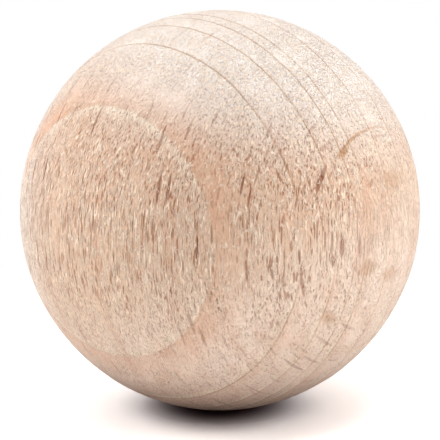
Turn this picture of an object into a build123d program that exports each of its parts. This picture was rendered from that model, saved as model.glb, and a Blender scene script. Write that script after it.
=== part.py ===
"""A plain wooden ball: one solid piece of beech, turned round and sanded, with no hole and no flat.

Frame: millimetres, +Z up along the fibres of the wood, origin at the centre of the ball.
The ball touches whatever carries it at one point, its lowest one, straight below the origin.
"""

import os

from build123d import *

# Driving dimension
ball_diameter = 40.0

# What follows from it
ball_radius = ball_diameter / 2

# The ball is turned: its profile is half a circle, closed along the turning axis,
# and one full turn about that axis makes the sphere.
with BuildPart() as ball:
    with BuildSketch(Plane.XZ):
        with BuildLine():
            round_side = CenterArc((0, 0), ball_radius, start_angle=-90, arc_size=180)
            Line(round_side @ 1, round_side @ 0)
        make_face()
    revolve(axis=Axis.Z)
ball.part.label = "ball"

os.makedirs("parts", exist_ok=True)
export_step(ball.part, "parts/ball.step")
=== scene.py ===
"""Looks for a turned wooden ball: bare sanded beech on a white bench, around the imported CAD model.

Everything is in metres, in the row frame: the ball's centre is the origin, +Z is up along the
fibres of the wood, and -Y faces the main view.
"""

import math

import bpy
import numpy as np
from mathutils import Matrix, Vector


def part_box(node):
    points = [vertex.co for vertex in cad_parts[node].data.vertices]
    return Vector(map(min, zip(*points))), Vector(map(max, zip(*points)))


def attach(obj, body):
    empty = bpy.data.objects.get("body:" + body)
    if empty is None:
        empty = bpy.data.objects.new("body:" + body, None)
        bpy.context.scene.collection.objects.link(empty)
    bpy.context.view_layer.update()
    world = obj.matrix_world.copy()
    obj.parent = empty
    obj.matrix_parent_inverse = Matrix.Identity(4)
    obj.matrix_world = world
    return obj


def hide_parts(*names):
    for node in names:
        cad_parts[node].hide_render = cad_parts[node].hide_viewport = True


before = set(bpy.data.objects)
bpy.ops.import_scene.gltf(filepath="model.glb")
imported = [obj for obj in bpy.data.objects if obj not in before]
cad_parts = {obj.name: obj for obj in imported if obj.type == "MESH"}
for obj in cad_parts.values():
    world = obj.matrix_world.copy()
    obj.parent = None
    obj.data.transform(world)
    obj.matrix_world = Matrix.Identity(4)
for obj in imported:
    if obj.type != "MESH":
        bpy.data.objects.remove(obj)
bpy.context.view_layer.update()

MM = 0.001

# ---------------------------------------------------------------- the ball and how it lay in the tree

ball_low, ball_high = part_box("ball")
BALL_RADIUS = (ball_high[2] - ball_low[2]) / 2

# The blank was sawn about 200 mm from the pith. BARK_TURN is how far the bark side is turned
# from the front, towards the left, about the upright fibres.
PITH_DISTANCE_MM = 200.0
BARK_TURN = math.radians(40.5)

# Where each year's growth ends, in mm from the ball's centre towards the bark.
RING_EDGES_MM = (-21.0, -17.4, -14.2, -11.8, -8.7, -5.9, -3.1, 0.3, 3.8, 5.2, 7.3, 10.5, 16.1, 22.5)

# Broad rays that are cut open where they show: the middle of each, as distances in mm (round
# the tree, towards the bark, up the fibres), its half sizes the same way, and how dark it is.
BROAD_RAYS_MM = (
    ((-17.5, 1.4, 7.8), (0.13, 7.5, 2.6), 1.0),
    ((-17.6, 4.9, 7.7), (0.24, 1.3, 1.0), 1.0),
    ((-17.1, -2.8, 10.2), (0.12, 0.25, 0.35), 1.0),
    ((-19.5, -1.3, 4.7), (1.1, 2.4, 1.2), 0.45),
    ((-19.3, 3.2, -3.3), (1.1, 1.8, 1.0), 0.45),
    ((-19.5, -0.6, -4.4), (1.1, 2.4, 0.9), 0.45),
    ((-17.2, 6.2, -7.5), (0.6, 1.6, 1.1), 0.60),
)


def growth_part(distance):
    """How far through its year the wood is: 0 just after a ring edge, 1 just before the next.

    The distance since the last edge is divided by the distance between the two edges."""
    edges = np.array(RING_EDGES_MM)
    year = np.clip(np.searchsorted(edges, distance, side="right") - 1, 0, len(edges) - 2)
    return np.clip((distance - edges[year]) / (edges[year + 1] - edges[year]), 0, 1)


def tree_coordinates(points_mm):
    """Points in the row frame as (round the tree, towards the bark, up the fibres), all in mm.

    The two level axes are turned so that the second points to the bark. The distance from the
    pith less the pith's distance is the second number, and the angle round the pith times the
    pith's distance is the first."""
    turn = math.pi + BARK_TURN
    across = points_mm[:, 0] * math.cos(turn) - points_mm[:, 1] * math.sin(turn)
    outward = points_mm[:, 0] * math.sin(turn) + points_mm[:, 1] * math.cos(turn)
    from_pith = np.hypot(across, outward + PITH_DISTANCE_MM)
    angle = np.arctan2(across, outward + PITH_DISTANCE_MM)
    return angle * PITH_DISTANCE_MM, from_pith - PITH_DISTANCE_MM, points_mm[:, 2]


# ---------------------------------------------------------------- the ball's surface

GRID = 128  # steps along each side of each of the six square patches
SKIN_MM = 0.012  # the whole skin lies at least this far inside the true sphere
SOFT_WOOD_LOSS_MM = 0.03  # sanding takes this much more off early wood than off late wood
OUT_OF_ROUND_MM = 0.035
RAY_DIP_MM = 0.025


def patch_axes():
    """The six square patches of the ball, as (outward, across, up) axes, with across x up outward."""
    front = (0, -1, 0), (1, 0, 0), (0, 0, 1)
    right = (1, 0, 0), (0, 1, 0), (0, 0, 1)
    back = (0, 1, 0), (-1, 0, 0), (0, 0, 1)
    left = (-1, 0, 0), (0, -1, 0), (0, 0, 1)
    top = (0, 0, 1), (1, 0, 0), (0, 1, 0)
    bottom = (0, 0, -1), (1, 0, 0), (0, -1, 0)
    return front, right, back, left, top, bottom


def skin_depth_mm(directions):
    """How far the sanded skin lies inside the true sphere, in mm, for unit directions.

    It is the sum of a fixed margin, a slight out-of-round from the lathe (two slow waves), what
    sanding takes off the soft start of each year's growth, and a shallow dip over each broad ray."""
    x, y, z = directions.T
    round_the_tree, to_bark, up = tree_coordinates(directions * BALL_RADIUS / MM)
    waves = 0.5 + 0.25 * np.cos(2 * np.arctan2(y, x) + 0.7) * (1 - z * z) + 0.25 * np.sin(3 * z + 0.4)
    soft = (1 - growth_part(to_bark)) ** 1.5
    dips = np.zeros(len(directions))
    for middle, half, depth in BROAD_RAYS_MM:
        reach = np.sqrt(
            ((round_the_tree - middle[0]) / (half[0] * 1.6)) ** 2
            + ((to_bark - middle[1]) / half[1]) ** 2
            + ((up - middle[2]) / half[2]) ** 2
        )
        dips = np.maximum(dips, depth * np.clip(1.3 - reach, 0, 1))
    return SKIN_MM + OUT_OF_ROUND_MM * waves + SOFT_WOOD_LOSS_MM * soft + RAY_DIP_MM * dips


def make_ball():
    """The ball as six square patches that meet edge to edge, with no poles.

    Each patch is a grid of two angles a and b from -45 to 45 degrees. A grid point's direction is
    outward + tan(a) across + tan(b) up, made unit length, and its distance from the centre is the
    ball's radius less the depth of the skin there. Points that two patches share are merged."""
    angle = np.linspace(-math.pi / 4, math.pi / 4, GRID + 1)
    step_across, step_up = (g.ravel() for g in np.meshgrid(np.tan(angle), np.tan(angle)))
    corner = (np.arange(GRID)[:, None] * (GRID + 1) + np.arange(GRID)).ravel()
    square = np.stack([corner, corner + 1, corner + GRID + 2, corner + GRID + 1], axis=1)

    # On the colour map the patches lie two across and three up, so that the map is finest
    # across the grain, with a narrow gap between them.
    gap = 0.006
    part = np.linspace(0, 1, GRID + 1)
    part_across, part_up = (g.ravel() for g in np.meshgrid(part, part))

    cube_points, squares, map_points = [], [], []
    for n, axes in enumerate(patch_axes()):
        outward, across, up = (np.array(axis, float) for axis in axes)
        cube_points.append(outward + step_across[:, None] * across + step_up[:, None] * up)
        squares.append(square + n * len(step_up))
        column, row = n % 2, n // 2
        across_map = column / 2 + gap + part_across * (1 / 2 - 2 * gap)
        up_map = row / 3 + gap + part_up * (1 / 3 - 2 * gap)
        map_points.append(np.stack([across_map, up_map], axis=1)[square.ravel()])
    cube_points = np.concatenate(cube_points)
    squares = np.concatenate(squares)
    map_points = np.concatenate(map_points)

    _, first, same = np.unique(np.round(cube_points, 6), axis=0, return_index=True, return_inverse=True)
    directions = cube_points[first]
    directions /= np.linalg.norm(directions, axis=1)[:, None]
    places = directions * (BALL_RADIUS - skin_depth_mm(directions) * MM)[:, None]
    squares = same.ravel()[squares]

    mesh = bpy.data.meshes.new("turned_ball")
    mesh.vertices.add(len(places))
    mesh.vertices.foreach_set("co", places.ravel())
    mesh.loops.add(squares.size)
    mesh.loops.foreach_set("vertex_index", squares.ravel().astype(np.int32))
    mesh.polygons.add(len(squares))
    mesh.polygons.foreach_set("loop_start", np.arange(0, squares.size, 4, dtype=np.int32))
    mesh.update(calc_edges=True)
    mesh.polygons.foreach_set("use_smooth", np.ones(len(squares), bool))
    mesh.uv_layers.new(name="OFBake").data.foreach_set("uv", map_points.ravel())
    mesh.validate()
    ball = bpy.data.objects.new("turned_ball", mesh)
    bpy.context.collection.objects.link(ball)
    return ball


# ---------------------------------------------------------------- colours and nodes


def colour(hex_rgb):
    """An sRGB hex colour such as "e6c8a4" as linear red, green, blue and alpha."""
    parts = [int(hex_rgb[i : i + 2], 16) / 255 for i in (0, 2, 4)]
    return (*(p / 12.92 if p <= 0.04045 else ((p + 0.055) / 1.055) ** 2.4 for p in parts), 1.0)


def add(tree, kind, inputs=(), output=0, **settings):
    """Adds a node and returns one of its outputs. inputs are its sockets, in order or by name or
    number: each is a value, or another node's output to link from. settings are its properties."""
    made = tree.nodes.new(kind)
    for name, value in settings.items():
        setattr(made, name, value)
    for socket, value in inputs.items() if isinstance(inputs, dict) else enumerate(inputs):
        if isinstance(value, bpy.types.NodeSocket):
            tree.links.new(value, made.inputs[socket])
        else:
            made.inputs[socket].default_value = value
    return made.outputs[output] if made.outputs else made


MATHS = "ShaderNodeMath"
VECTOR = "ShaderNodeVectorMath"
SPLIT = "ShaderNodeSeparateXYZ"
FADE = "ShaderNodeMapRange"  # inputs: value, start, end, what it gives at the start and at the end
NOISE = "ShaderNodeTexNoise"
MIX = "ShaderNodeMix"
SMOOTH = {"interpolation_type": "SMOOTHSTEP"}


def new_tree(owner):
    """The empty node tree of a material or world."""
    owner.use_nodes = True
    owner.node_tree.nodes.clear()
    return owner.node_tree


# ---------------------------------------------------------------- beech


def wander(tree, turned):
    """The same place with the grain's own wander: waves 18 mm long move it by up to half a
    millimetre, and waves 2.5 mm long by a tenth of that."""
    moved = turned
    long_waves = ((18, 18, 26), (1.0, 1.2, 0.6), 0)
    short_waves = ((2.5, 2.5, 5), (0.10, 0.14, 0), 1)
    for wave_mm, reach_mm, detail in (long_waves, short_waves):
        wave = add(tree, VECTOR, (turned, wave_mm), operation="DIVIDE")
        noise = add(tree, NOISE, {"Vector": wave, "Scale": 1.0, "Detail": detail}, output="Color")
        centred = add(tree, VECTOR, (noise, (0.5, 0.5, 0.5)), operation="SUBTRACT")
        moved = add(tree, VECTOR, (centred, reach_mm, moved), operation="MULTIPLY_ADD")
    return moved


def grain(tree, wood, waves_mm, detail=1.0):
    """Noise, 0 to 1, with waves of those lengths in mm round the tree, to the bark and up."""
    place = add(tree, VECTOR, (wood, waves_mm), operation="DIVIDE")
    return add(tree, NOISE, {"Vector": place, "Scale": 1.0, "Detail": detail})


def slivers(tree, wood, cell_mm, share, size):
    """Lens shapes that taper to their ends, 0 outside and up to 1 inside. The wood is divided into
    cells of cell_mm, and that share of them hold a lens. A lens reaches from 0.6 to 1.6 times size
    of its cell to each side of its middle."""
    place = add(tree, VECTOR, (wood, cell_mm), operation="DIVIDE")
    cell = add(tree, "ShaderNodeTexVoronoi", {"Vector": place, "Scale": 1.0}, output="Distance")
    draw = add(tree, SPLIT, (cell.node.outputs["Color"],)).node.outputs
    held = add(tree, MATHS, (draw[0], share), operation="LESS_THAN")
    reach = add(tree, MATHS, (draw[1], size, size * 0.6), operation="MULTIPLY_ADD")
    near = add(tree, MATHS, (cell, reach), operation="DIVIDE")
    lens = add(tree, FADE, (near, 0.60, 1.05, 1.0, 0.0), **SMOOTH)
    strength = add(tree, MATHS, (draw[2], 0.4, 0.6), operation="MULTIPLY_ADD")
    shown = add(tree, MATHS, (held, strength), operation="MULTIPLY")
    return add(tree, MATHS, (lens, shown), operation="MULTIPLY")


def beech():
    """Beech, bare, turned and sanded: pale tan with a pinker, closer band at the end of each year's
    growth and a thin darker line at its edge, short brown ray flecks, and fine open pores that run
    up the fibres and show as dots on the end grain. It is matt, with a little bloom from raised
    fibre.

    Distances inside are in mm, as (round the tree, towards the bark, up the fibres)."""
    material = bpy.data.materials.new("beech_sanded")
    tree = new_tree(material)

    # From the row frame in metres to level axes across and towards the bark, in mm.
    place = add(tree, "ShaderNodeTexCoord", output="Object")
    turn = (0, 0, math.pi + BARK_TURN)
    centre = (0, PITH_DISTANCE_MM, 0)
    turned = add(tree, "ShaderNodeMapping", (place, centre, turn, (1 / MM, 1 / MM, 1 / MM)))
    level = add(tree, SPLIT, (wander(tree, turned),)).node.outputs
    across, outward, up = level[0], level[1], level[2]
    across_squared = add(tree, MATHS, (across, across), operation="MULTIPLY")
    squares = add(tree, MATHS, (outward, outward, across_squared), operation="MULTIPLY_ADD")
    from_pith = add(tree, MATHS, (squares,), operation="SQRT")
    to_bark = add(tree, MATHS, (from_pith, PITH_DISTANCE_MM), operation="SUBTRACT")
    angle = add(tree, MATHS, (across, outward), operation="ARCTAN2")
    round_the_tree = add(tree, MATHS, (angle, PITH_DISTANCE_MM), operation="MULTIPLY")
    wood = add(tree, "ShaderNodeCombineXYZ", (round_the_tree, to_bark, up))

    # The last ring edge passed and the next one: each edge passed moves both on by one year.
    last, following = RING_EDGES_MM[0], RING_EDGES_MM[1]
    for before, edge, after in zip(RING_EDGES_MM, RING_EDGES_MM[1:], RING_EDGES_MM[2:]):
        passed = add(tree, MATHS, (to_bark, edge), operation="GREATER_THAN")
        last = add(tree, MATHS, (passed, edge - before, last), operation="MULTIPLY_ADD")
        following = add(tree, MATHS, (passed, after - edge, following), operation="MULTIPLY_ADD")
    since_edge = add(tree, MATHS, (to_bark, last), operation="SUBTRACT")
    before_edge = add(tree, MATHS, (following, to_bark), operation="SUBTRACT")
    year_width = add(tree, MATHS, (following, last), operation="SUBTRACT")
    year_part = add(tree, MATHS, (since_edge, year_width), operation="DIVIDE")

    # Side grain blurs the bands of a year: they show best where the surface cuts across the fibres.
    from_middle = add(tree, MATHS, (up,), operation="ABSOLUTE")
    end_grain = add(tree, FADE, (from_middle, 3.0, 10.5), **SMOOTH)
    clear = add(tree, MATHS, (end_grain, 0.6, 0.4), operation="MULTIPLY_ADD")
    wide_year = add(tree, FADE, (year_width, 2.0, 5.5, 0.35, 1.0), **SMOOTH)
    banding = add(tree, MATHS, (wide_year, clear), operation="MULTIPLY")
    late_growth = add(tree, FADE, (year_part, 0.40, 1.05), **SMOOTH)
    late_edge = add(tree, FADE, (before_edge, 0.0, 0.12), **SMOOTH)
    late_rise = add(tree, MATHS, (late_growth, late_edge), operation="MULTIPLY")
    late_wood = add(tree, MATHS, (late_rise, banding), operation="MULTIPLY")
    early_growth = add(tree, FADE, (since_edge, 0.0, 0.8, 1.0, 0.0), **SMOOTH)
    early_edge = add(tree, FADE, (since_edge, 0.0, 0.12), **SMOOTH)
    early_fall = add(tree, MATHS, (early_growth, early_edge), operation="MULTIPLY")
    early_wood = add(tree, MATHS, (early_fall, clear), operation="MULTIPLY")

    # The line is about 0.15 mm of dense wood just before the edge. It shows on end grain, fades
    # out on side grain and near the bark, and comes and goes.
    line_cut = add(tree, FADE, (from_middle, 1.0, 8.0, 0.12, 1.0), **SMOOTH)
    line_age = add(tree, FADE, (to_bark, 11.0, 14.0, 1.0, 0.3), **SMOOTH)
    line_breaks = add(tree, FADE, (grain(tree, wood, (6, 6, 6)), 0.36, 0.54, 0.55, 1.0), **SMOOTH)
    ring_line = add(tree, FADE, (before_edge, 0.03, 0.22, 1.0, 0.0), **SMOOTH)
    for part in (line_cut, line_age, line_breaks):
        ring_line = add(tree, MATHS, (ring_line, part), operation="MULTIPLY")

    # Rays are flat ribbons along the radius. The tall ones show as flecks 1 to 3.5 mm tall, the
    # small ones as fine dashes, and a few broad ones are listed one by one.
    fleck = slivers(tree, wood, (0.50, 9.0, 5.6), 0.90, 0.20)
    small_rays = slivers(tree, wood, (0.30, 4.0, 2.0), 0.55, 0.24)
    broad = 0.0
    for middle, half, depth in BROAD_RAYS_MM:
        offset = add(tree, VECTOR, (wood, middle), operation="SUBTRACT")
        shares = add(tree, VECTOR, (offset, half), operation="DIVIDE")
        reach = add(tree, VECTOR, (shares,), output="Value", operation="LENGTH")
        inside = add(tree, FADE, (reach, 0.3, 1.1, depth, 0.0), **SMOOTH)
        broad = add(tree, MATHS, (broad, inside), operation="MAXIMUM")

    # Pores and fibres: long lines 0.13 mm wide, broken up by short ones. They are drawn about twice
    # as coarse as real vessels so that they show. Late wood has closed, smaller pores.
    long_lines = grain(tree, wood, (0.13, 0.22, 2.3))
    short_lines = grain(tree, wood, (0.13, 0.40, 0.65))
    half_long = add(tree, MATHS, (long_lines, 0.6), operation="MULTIPLY")
    strokes = add(tree, MATHS, (short_lines, 0.4, half_long), operation="MULTIPLY_ADD")
    patches = grain(tree, wood, (2.2, 3.0, 6.0), 2.0)
    closed_part = add(tree, FADE, (year_part, 0.25, 0.95, 0.0, -0.6), **SMOOTH)
    closed = add(tree, MATHS, (closed_part, wide_year), operation="MULTIPLY")
    open_wood = add(tree, MATHS, (patches, 2.3, closed), operation="MULTIPLY_ADD")
    lines_shown = []
    for lines, start, end in ((strokes, 0.55, 0.64), (strokes, 0.49, 0.39), (long_lines, 0.61, 0.67)):
        drawn = add(tree, FADE, (lines, start, end), **SMOOTH)
        lines_shown.append(add(tree, MATHS, (drawn, open_wood), operation="MULTIPLY", use_clamp=True))
    # raised is pale raised fibre: its pale colour is partly its own and partly a painted highlight.
    pores, raised, vessels = lines_shown

    # Fuzz: single fibres that sanding lifted, as thin pale curls; their paleness is partly a painted
    # highlight where they catch the light. Each is a contour line of a noise.
    curls = grain(tree, wood, (0.40, 0.50, 0.95))
    off_contour = add(tree, MATHS, (curls, 0.5, 0.022), operation="COMPARE")
    tufts = add(tree, FADE, (grain(tree, wood, (0.6, 0.7, 1.0)), 0.49, 0.58), **SMOOTH)
    fuzz = add(tree, MATHS, (off_contour, tufts), operation="MULTIPLY")

    # Colour, from the ground up: pinker up the blank and paler towards the pith. The far side round
    # the tree, the left of the main view, is lightened with painted light. The low part on the side of
    # the rays is paler as painted bounce light from the bench. The underside is browner, partly as
    # darker end grain and partly as painted shade with a warm bounce. A painted highlight whitens the
    # top end, more on the side of the rays, hides its pores and dims its other marks. The low end and
    # the face cut along the rays came off the sander smoother.
    tint = grain(tree, wood, (9, 9, 14), 2.0)
    shade = grain(tree, wood, (1.3, 2.4, 9), 3.0)
    uneven = add(tree, MATHS, (tint, 1.2, -0.05), operation="MULTIPLY_ADD")
    up_the_blank = add(tree, MATHS, (up, 1 / 24, uneven), operation="MULTIPLY_ADD")
    pink = add(tree, FADE, (up_the_blank, 0.2, 0.85), **SMOOTH)
    near_pith = add(tree, FADE, (to_bark, -6.0, 13.0, 1.0, 0.0), **SMOOTH)
    # Painted light: the far side round the tree, the left of the main view, is lightened.
    far_side_painted_light = add(tree, FADE, (round_the_tree, 3.0, 12.0), **SMOOTH)
    # Painted bounce light from the bench: the low part on the side of the rays is paler.
    lower_slope = add(tree, MATHS, (round_the_tree, 0.5, up), operation="MULTIPLY_ADD")
    lower_painted_bounce = add(tree, FADE, (lower_slope, -5.0, -15.0), **SMOOTH)
    # Browner underneath: partly darker end grain, partly painted shade with a warm bounce.
    under_shade_and_end_grain = add(tree, FADE, (up, -12.0, -20.0), **SMOOTH)
    # Painted highlight on the top end, reaching lower on the side of the rays.
    top_highlight_slope = add(tree, MATHS, (round_the_tree, -0.25, up), operation="MULTIPLY_ADD")
    top_painted_highlight = add(tree, FADE, (top_highlight_slope, 8.5, 18.0), **SMOOTH)
    shaded = add(tree, FADE, (shade, 0.40, 0.70), **SMOOTH)
    low_end = add(tree, FADE, (up, -10.0, -2.0, 0.55, 1.0), **SMOOTH)
    ray_face = add(tree, FADE, (round_the_tree, -19.8, -18.2, 0.25, 1.0), **SMOOTH)
    rough = add(tree, MATHS, (low_end, ray_face), operation="MULTIPLY")
    # Marks fade under the painted highlight on the top end.
    marks_through_highlight = add(tree, MATHS, (top_painted_highlight, -0.50, 1.0), operation="MULTIPLY_ADD")
    # bare and barest: how much of the marks shows through the smoother sanding and the painted
    # highlight.
    bare = add(tree, MATHS, (rough, marks_through_highlight), operation="MULTIPLY")
    barest = add(tree, MATHS, (bare, marks_through_highlight), operation="MULTIPLY")
    ground = colour("eaccb1")
    for amount, where, share, layer in (
        (pink, 1.0, 1.0, "e1bda3"),
        (near_pith, 1.0, 0.55, "f4d8be"),
        # painted bounce light from the bench, low on the side of the rays
        (lower_painted_bounce, 1.0, 0.80, "fde6d4"),
        # browner underneath: partly end grain, partly painted shade
        (under_shade_and_end_grain, 1.0, 0.65, "ba8052"),
        # painted light on the far side, the left of the main view
        (far_side_painted_light, 1.0, 0.85, "fcf0e4"),
        (early_wood, 1.0, 0.85, "fce8d0"),
        (late_wood, low_end, 1.0, "d8a888"),
        (shaded, 1.0, 0.32, "d29a7a"),
        # painted highlight that whitens the top end
        (top_painted_highlight, 1.0, 0.90, "fbf2ea"),
        # pale raised fibre, partly its own colour and partly a painted highlight
        (raised, rough, 0.88, "ffe4ca"),
        (pores, bare, 0.42, "a8622e"),
        (vessels, bare, 0.46, "945020"),
        (small_rays, barest, 0.65, "9e5e36"),
        (ring_line, 1.0, 0.72, "b58558"),
        (fleck, barest, 0.80, "8e4e2c"),
        # lifted fibres, pale partly as a painted highlight
        (fuzz, rough, 0.75, "ffead6"),
        (broad, 1.0, 0.80, "bd8654"),
    ):
        strength = add(tree, MATHS, (amount, share), operation="MULTIPLY")
        strength = add(tree, MATHS, (strength, where), operation="MULTIPLY")
        ground = add(tree, MIX, {0: strength, 6: ground, 7: colour(layer)}, output=2, data_type="RGBA")

    # Height of the sanded surface in mm, a little more than the sander leaves, so that it shows.
    # The nap is the fine tooth of raised fibre ends.
    nap = grain(tree, turned, (0.24, 0.24, 0.34))
    height = 0.0
    for amount, rise_mm in (
        (pores, -0.05),
        (raised, 0.12),
        (vessels, -0.04),
        (fleck, -0.03),
        (small_rays, -0.03),
        (ring_line, -0.012),
        (nap, 0.16),
        (fuzz, 0.07),
    ):
        height = add(tree, MATHS, (amount, rise_mm, height), operation="MULTIPLY_ADD")
    relief = add(tree, "ShaderNodeBump", {"Height": height, "Distance": MM, "Strength": 1.0})

    roughness = 0.64
    for amount, change in ((late_wood, -0.06), (pores, 0.12), (broad, -0.12)):
        roughness = add(tree, MATHS, (amount, change, roughness), operation="MULTIPLY_ADD")

    skin = {
        "Base Color": ground,
        "Roughness": roughness,
        "Normal": relief,
        "IOR": 1.45,
        "Specular IOR Level": 0.2,
        "Sheen Weight": 0.60,
        "Sheen Roughness": 0.28,
        "Sheen Tint": colour("fff0e6"),
    }
    surface = add(tree, "ShaderNodeBsdfPrincipled", skin)
    add(tree, "ShaderNodeOutputMaterial", (surface,))
    return material


def seen_by_eye(tree):
    """1 where the camera or a mirror reflection looks, and 0 for light on its way elsewhere."""
    rays = add(tree, "ShaderNodeLightPath").node.outputs
    return add(tree, MATHS, (rays["Is Camera Ray"], rays["Is Glossy Ray"]), operation="MAXIMUM")


def bench_white():
    """White laminate bench top, matt: a plain diffuse white that keeps the ball's shadow. It is
    greyed round the ball's point of rest, which deepens the shadow there. The camera sees it a
    little lighter than it lights the ball, and far from the ball it runs into the white room."""
    material = bpy.data.materials.new("bench_laminate_white")
    tree = new_tree(material)
    place = add(tree, "ShaderNodeTexCoord", output="Object")
    flat_mm = add(tree, VECTOR, (place, (1 / MM, 1 / MM, 0)), operation="MULTIPLY")
    from_ball = add(tree, VECTOR, (flat_mm,), output="Value", operation="LENGTH")
    looks = []
    for near_mm, reach_mm, gain in ((6.0, 24.0, 1.0), (3.0, 11.2, 1.6)):
        open_bench = add(tree, FADE, (from_ball, near_mm, reach_mm), **SMOOTH)
        greyed = {0: open_bench, 6: colour("4a2e32"), 7: colour("f8f6f6")}
        shade = add(tree, MIX, greyed, output=2, data_type="RGBA")
        lighter = add(tree, VECTOR, {0: shade, "Scale": gain}, operation="SCALE")
        looks.append(add(tree, "ShaderNodeBsdfDiffuse", (lighter,)))
    lights, seen = looks
    far_off = add(tree, FADE, (from_ball, 30.0, 80.0), **SMOOTH)
    white_room = add(tree, "ShaderNodeEmission", (colour("ffffff"), 1.0))
    seen = add(tree, "ShaderNodeMixShader", (far_off, seen, white_room))
    either = add(tree, "ShaderNodeMixShader", (seen_by_eye(tree), lights, seen))
    add(tree, "ShaderNodeOutputMaterial", (either,))
    return material


# ---------------------------------------------------------------- pieces

ball_piece = make_ball()
ball_piece.data.materials.append(beech())
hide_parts("ball")
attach(ball_piece, "root")

FLOOR_HALF = 3.0
bench_mesh = bpy.data.meshes.new("bench")
bench_corners = [
    (x * FLOOR_HALF, y * FLOOR_HALF, ball_low[2]) for x, y in ((-1, -1), (1, -1), (1, 1), (-1, 1))
]
bench_mesh.from_pydata(bench_corners, [], [(0, 1, 2, 3)])
bench = bpy.data.objects.new("bench", bench_mesh)
bpy.context.collection.objects.link(bench)
bench_mesh.materials.append(bench_white())

# ---------------------------------------------------------------- light

world = bpy.data.worlds.new("white_room")
bpy.context.scene.world = world
room = new_tree(world)

# The room is a little darker behind the camera and brighter behind and above the ball.
way = add(room, "ShaderNodeTexCoord", output="Generated")
slope = add(room, VECTOR, (way, (0.0, 0.19, 0.36)), output="Value", operation="DOT_PRODUCT")
strength = add(room, MATHS, (slope, 0.37), operation="ADD")
lit = add(room, "ShaderNodeBackground", (colour("ffffff"), strength))
plain = add(room, "ShaderNodeBackground", (colour("ffffff"), 1.0))
either = add(room, "ShaderNodeMixShader", (seen_by_eye(room), lit, plain))
add(room, "ShaderNodeOutputWorld", (either,))


def softbox(name, place, size, level):
    """A square soft light that faces the ball. level is about what it adds to a white card that
    faces it at the ball, where 1 is white."""
    lamp = bpy.data.lights.new(name, "AREA")
    lamp.size = size
    reach = Vector(place).length
    lamp.energy = level * math.pi * math.pi * reach * reach
    holder = bpy.data.objects.new(name, lamp)
    holder.location = place
    holder.rotation_euler = (-Vector(place)).to_track_quat("-Z", "Y").to_euler()
    bpy.context.collection.objects.link(holder)


softbox("softbox_right", (0.36, 0.00, 0.16), 0.20, 0.48)
softbox("softbox_left", (-0.36, 0.06, 0.20), 0.20, 0.61)
softbox("softbox_top", (0.03, -0.07, 0.39), 0.18, 0.51)

# ---------------------------------------------------------------- camera

CAMERA_LENS_MM = 135.0
CAMERA_SENSOR_MM = 36.0
CAMERA_RISE = math.radians(9.0)
BALL_SHARE = 401 / 440  # the ball's outline over the width of the frame
BALL_ABOVE_MIDDLE = 9.7 / 220  # how far the ball's centre is above the middle, over half the frame

half_view = CAMERA_SENSOR_MM / 2 / CAMERA_LENS_MM
outline_angle = math.atan(half_view * BALL_SHARE)
distance = BALL_RADIUS / math.sin(outline_angle)
look_from = Vector((0, -math.cos(CAMERA_RISE), math.sin(CAMERA_RISE))) * distance
camera_up = Vector((0, math.sin(CAMERA_RISE), math.cos(CAMERA_RISE)))
look_at = -camera_up * (distance * half_view * BALL_ABOVE_MIDDLE)

camera_data = bpy.data.cameras.new("camera")
camera_data.lens = CAMERA_LENS_MM
camera_data.sensor_width = CAMERA_SENSOR_MM
camera_data.clip_start = 0.005
camera_data.clip_end = 20.0
camera = bpy.data.objects.new("camera", camera_data)
camera.location = look_from
camera.rotation_euler = (look_at - look_from).to_track_quat("-Z", "Y").to_euler()
bpy.context.collection.objects.link(camera)
bpy.context.scene.camera = camera
bpy.context.scene.view_settings.view_transform = "Standard"
